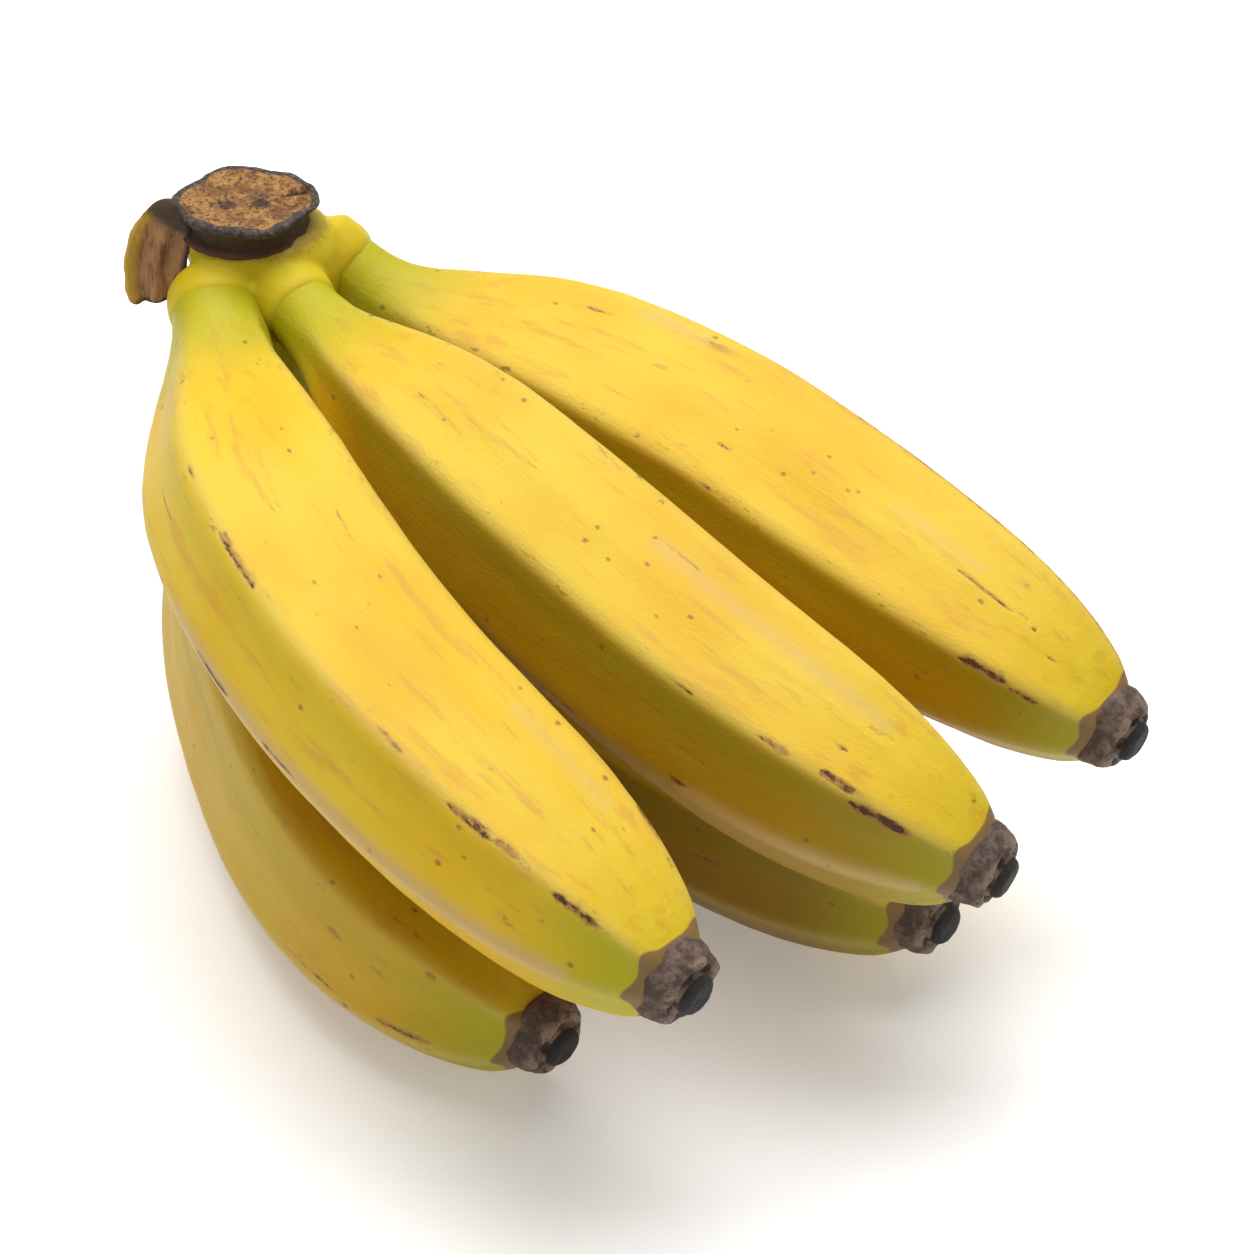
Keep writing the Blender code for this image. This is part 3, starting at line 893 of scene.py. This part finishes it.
def stump_material(settings):
    """Dark dry rim with a fibrous orange-brown cut face."""
    stump = Finish("crown_cut")
    place = stump.node("ShaderNodeTexCoord", output="Object")
    face = stump.attribute("face")
    pit = stump.attribute("pit")
    coarse = stump.noise(place, 230.0, 4.0, 0.65)
    fine = stump.noise(place, 1300.0, 5.0, 0.7)
    wood = stump.mix(coarse.step(0.38, 0.62), settings.cut, (0.44, 0.22, 0.06))
    wood = stump.mix(fine.step(0.46, 0.62) * 0.8, wood, (0.035, 0.017, 0.010))
    wood = stump.mix((pit + (fine - 0.5)).step(0.35, 0.8) * 0.85, wood, (0.022, 0.012, 0.009))
    bark = stump.mix(fine.step(0.44, 0.66), settings.char, (0.14, 0.10, 0.075))
    height = stump.node("ShaderNodeSeparateXYZ", inputs={"Vector": place}, output="Z")
    bark = stump.mix(height.step(0.0810, 0.0801) * 0.95, bark, (0.060, 0.034, 0.008))
    bark = stump.mix(height.step(0.0786, 0.0779) * 0.9, bark, (0.10, 0.040, 0.025))
    base = stump.mix((face + (fine - 0.5) * 0.5).step(0.30, 0.70), bark, wood)
    stump.feed(Base_Color=base, Roughness=0.75 + fine * 0.2)
    stump.feed(Normal=stump.bump(fine + coarse, 0.0006, 0.9))
    return stump.material


def make_flap(material):
    """Strip of dry skin torn loose at the side of the crown."""
    centres = [np.array(level[:3]) + OFFSET for level in FLAP_LEVELS]
    rings, tags = [], []
    for index, (centre, level) in enumerate(zip(centres, FLAP_LEVELS)):
        ahead = centres[min(index + 1, len(centres) - 1)] - centres[max(index - 1, 0)]
        width = np.cross(ahead, FLAP_FACING)
        width *= level[3] / np.linalg.norm(width)
        rings.append(ellipse(centre, width, FLAP_FACING * -level[4], FLAP_SIDES))
        tags.append(round_tags(FLAP_SIDES, float(index)))
    piece = draw_tube("torn_peel", rings, tags)
    apply_modifier(piece, "SUBSURF", levels=3, render_levels=3)
    tag = read_vectors(piece, "peel")
    points = coordinates(piece) / MM
    across = tag[:, 0]
    curl = 0.9 * np.abs(across) ** 3 + 0.5 * np.cos(7 * across)
    points += FLAP_FACING * (curl * rise(tag[:, 2], 0.5, 2.5))[:, None]
    points += vertex_normals(piece) * (0.28 * ripple(points, 2.6, 80, 3))[:, None]
    set_coordinates(piece, points * MM)
    store(piece, "across", across)
    store(piece, "down", tag[:, 2])
    finish_piece(piece, material, "crown", "crown")


def flap_material(settings):
    """Pinkish-brown fibrous inside of torn peel with a yellow strip and dark edges."""
    flap = Finish("torn_peel_inside")
    place = flap.node("ShaderNodeTexCoord", output="Object")
    across, down = flap.attribute("across"), flap.attribute("down")
    fibres = flap.noise(flap.scaled(place, (1.0, 1.0, 0.22)), 800.0, 5.0, 0.65)
    base = flap.mix(fibres.step(0.44, 0.66) * 0.85, settings.flap, (0.15, 0.065, 0.03))
    strip = across.step(0.45, 0.75) * (fibres + 0.2).step(0.4, 0.7)
    base = flap.mix(strip * 0.85, base, (0.60, 0.38, 0.05))
    edge = (across + (fibres - 0.5) * 0.3).step(-0.70, -0.92)
    base = flap.mix(edge * 0.9, base, (0.03, 0.017, 0.013))
    top = (down + (fibres - 0.5) * 1.2).step(2.1, 1.3)
    base = flap.mix(top * 0.95, base, (0.055, 0.038, 0.030))
    base = flap.mix((down + (fibres - 0.5)).step(5.4, 5.9) * 0.8, base, (0.04, 0.02, 0.015))
    flap.feed(Base_Color=base, Roughness=0.7 + fibres * 0.2)
    flap.feed(Normal=flap.bump(fibres, 0.0005, 0.9))
    return flap.material


# ---------------------------------------------------------------- stage


def add_area(name, size, power, place, aim):
    """Square soft light."""
    lamp = bpy.data.lights.new(name, "AREA")
    lamp.shape = "SQUARE"
    lamp.size = size
    lamp.energy = power
    holder = bpy.data.objects.new(name, lamp)
    bpy.context.scene.collection.objects.link(holder)
    holder.location = place
    holder.rotation_euler = (Vector(aim) - Vector(place)).to_track_quat("-Z", "Y").to_euler()


def make_floor(settings):
    """Seamless pale floor."""
    deselect()
    bpy.ops.mesh.primitive_plane_add(size=FLOOR_SIZE)
    floor = bpy.context.object
    floor.name = "floor"
    finish = Finish("pale_floor")
    finish.feed(Base_Color=tuple(settings.floor), Roughness=0.9, Emission_Color=(1.0, 1.0, 1.0))
    finish.shader.inputs["Emission Strength"].default_value = settings.lift
    finish.shader.inputs["Specular IOR Level"].default_value = 0.0
    floor.data.materials.append(finish.material)


def make_camera(settings):
    """Camera above and in front of the flower ends."""
    lens = bpy.data.cameras.new("camera")
    lens.sensor_width = SENSOR
    lens.lens = settings.lens
    holder = bpy.data.objects.new("camera", lens)
    bpy.context.scene.collection.objects.link(holder)
    across = cos(CAMERA_LIFT)
    away = Vector((sin(CAMERA_TURN) * across, -cos(CAMERA_TURN) * across, sin(CAMERA_LIFT)))
    holder.location = Vector(CAMERA_AIM) + away * CAMERA_DISTANCE
    holder.rotation_euler = away.to_track_quat("Z", "Y").to_euler()
    bpy.context.scene.camera = holder


def make_world(settings):
    """Even white surroundings."""
    world = bpy.data.worlds.new("surround")
    world.use_nodes = True
    shade = world.node_tree.nodes["Background"]
    shade.inputs["Color"].default_value = (1.0, 1.0, 1.0, 1.0)
    shade.inputs["Strength"].default_value = settings.sky
    bpy.context.scene.world = world
    bpy.context.scene.view_settings.view_transform = "Standard"


# ---------------------------------------------------------------- operators and panel


class BANANAS_OT_fingers(bpy.types.Operator):
    """Model the five bananas and their peel"""

    bl_idname = "bananas.fingers"
    bl_label = "Bananas"

    def execute(self, context):
        settings = context.scene.banana_peel
        material = peel_material(settings)
        for finger in FINGERS:
            make_finger(finger, settings, material)
        return {"FINISHED"}


class BANANAS_OT_flower_ends(bpy.types.Operator):
    """Model the dried flower end of each banana"""

    bl_idname = "bananas.flower_ends"
    bl_label = "Flower Ends"

    def execute(self, context):
        material = cork_material(context.scene.banana_crown)
        for finger in FINGERS:
            make_flower_end(finger, material)
        return {"FINISHED"}


class BANANAS_OT_crown(bpy.types.Operator):
    """Model the crown, its cut end and the torn flap of peel"""

    bl_idname = "bananas.crown"
    bl_label = "Crown"

    def execute(self, context):
        make_crown(lobe_material(context.scene.banana_peel))
        make_stump(stump_material(context.scene.banana_crown))
        make_flap(flap_material(context.scene.banana_crown))
        return {"FINISHED"}


class BANANAS_OT_stage(bpy.types.Operator):
    """Set up the floor, the lights and the camera"""

    bl_idname = "bananas.stage"
    bl_label = "Stage"

    def execute(self, context):
        settings = context.scene.banana_stage
        make_floor(settings)
        make_camera(settings)
        make_world(settings)
        add_area("overhead", LAMP_SIZE, settings.soft_light, LAMP_PLACE, LAMP_AIM)
        return {"FINISHED"}


class BANANAS_PT_panel(bpy.types.Panel):
    """Sidebar panel that lists the steps of the bunch"""

    bl_label = "Bunch of Bananas"
    bl_idname = "BANANAS_PT_panel"
    bl_space_type = "VIEW_3D"
    bl_region_type = "UI"
    bl_category = "Bananas"

    def draw(self, context):
        for step in STEPS:
            self.layout.operator(step.bl_idname)


STEPS = (BANANAS_OT_fingers, BANANAS_OT_flower_ends, BANANAS_OT_crown, BANANAS_OT_stage)
GROUPS = (("banana_peel", PeelSettings), ("banana_crown", CrownSettings), ("banana_stage", StageSettings))


def register():
    """Registers the settings, operators and panel."""
    for name, group in GROUPS:
        bpy.utils.register_class(group)
        setattr(bpy.types.Scene, name, PointerProperty(type=group))
    for step in STEPS:
        bpy.utils.register_class(step)
    bpy.utils.register_class(BANANAS_PT_panel)


def unregister():
    """Removes them again."""
    bpy.utils.unregister_class(BANANAS_PT_panel)
    for step in reversed(STEPS):
        bpy.utils.unregister_class(step)
    for name, group in reversed(GROUPS):
        delattr(bpy.types.Scene, name)
        bpy.utils.unregister_class(group)


def main():
    """Builds the bunch."""
    register()
    bpy.ops.bananas.fingers()
    bpy.ops.bananas.flower_ends()
    bpy.ops.bananas.crown()
    bpy.ops.bananas.stage()


if __name__ == "__main__":
    main()
